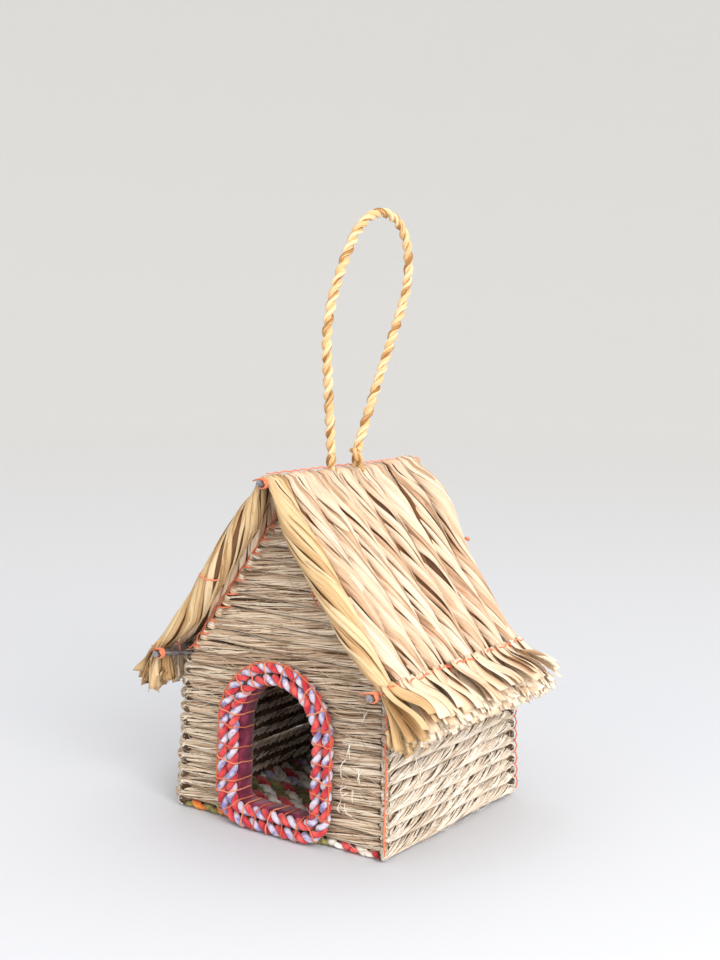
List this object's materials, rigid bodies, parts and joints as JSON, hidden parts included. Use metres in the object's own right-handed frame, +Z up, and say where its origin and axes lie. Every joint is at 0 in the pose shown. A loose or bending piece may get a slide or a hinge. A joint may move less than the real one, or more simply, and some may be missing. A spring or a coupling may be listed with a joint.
{
  "type": "birdhouse",
  "caption": "Small hanging birdhouse with jute walls, an arched doorway edged in rag rope, a pitched seagrass roof on a wire frame and a rope loop.",
  "frame": {"origin": "centre of the floor's underside", "axes": "+Z up, the doorway faces -Y, the ridge runs along Y"},
  "size_m": [0.2034, 0.1641, 0.3585],
  "materials": {
    "seagrass_rope": "dry twisted seagrass",
    "seagrass_leaf": "dry leaf, satin",
    "jute_front": "loosely twisted jute",
    "jute": "loosely twisted jute",
    "floor_rags": "recycled rag rope",
    "rag_rope": "recycled rag rope in two colours",
    "sari_cloth": "thin woven cloth",
    "thread": "twisted thread",
    "bare_steel": "dull, bare",
    "frame_wire": "dull, bare"
  },
  "bodies": {
    "house": {"back_gable": "jute", "back_gable_frame": "frame_wire", "back_gable_lacing": "thread", "back_left_corner_seam": "thread", "back_left_eave_bracket": "frame_wire", "back_right_corner_seam": "thread", "back_right_eave_bracket": "frame_wire", "back_wall": "jute", "door_hoop": "frame_wire", "door_lining": "sari_cloth", "door_rope": "rag_rope", "door_thread": "thread", "floor": "floor_rags", "front_gable": "jute_front", "front_gable_frame": "frame_wire", "front_gable_lacing": "thread", "front_left_corner_seam": "thread", "front_left_eave_bracket": "frame_wire", "front_right_corner_seam": "thread", "front_right_eave_bracket": "frame_wire", "front_wall": "jute_front", "left_eave_rod": "bare_steel", "left_eave_stitching": "thread", "left_plate_wire": "frame_wire", "left_sill_wire": "frame_wire", "left_wall": "jute", "loop_hitches": "seagrass_rope", "ridge_rod": "bare_steel", "ridge_stitching": "thread", "right_eave_rod": "bare_steel", "right_eave_stitching": "thread", "right_plate_wire": "frame_wire", "right_sill_wire": "frame_wire", "right_wall": "jute", "roof_roll_1": "seagrass_leaf", "roof_roll_2": "seagrass_leaf", "roof_roll_3": "seagrass_leaf", "roof_roll_4": "seagrass_leaf", "roof_roll_5": "seagrass_leaf", "roof_roll_6": "seagrass_leaf", "roof_roll_7": "seagrass_leaf", "roof_roll_8": "seagrass_leaf", "roof_roll_9": "seagrass_leaf"},
    "loop": {"hanging_loop": "seagrass_rope"}
  },
  "joints": [
    {"name": "loop_swing", "type": "hinge", "parent": "house", "child": "loop", "pos_m": [0, -0.01225, 0.2134], "axis": [0, 1, 0], "range_deg": [-90, 90], "stiffness_Nm_per_rad": 0.03}
  ]
}
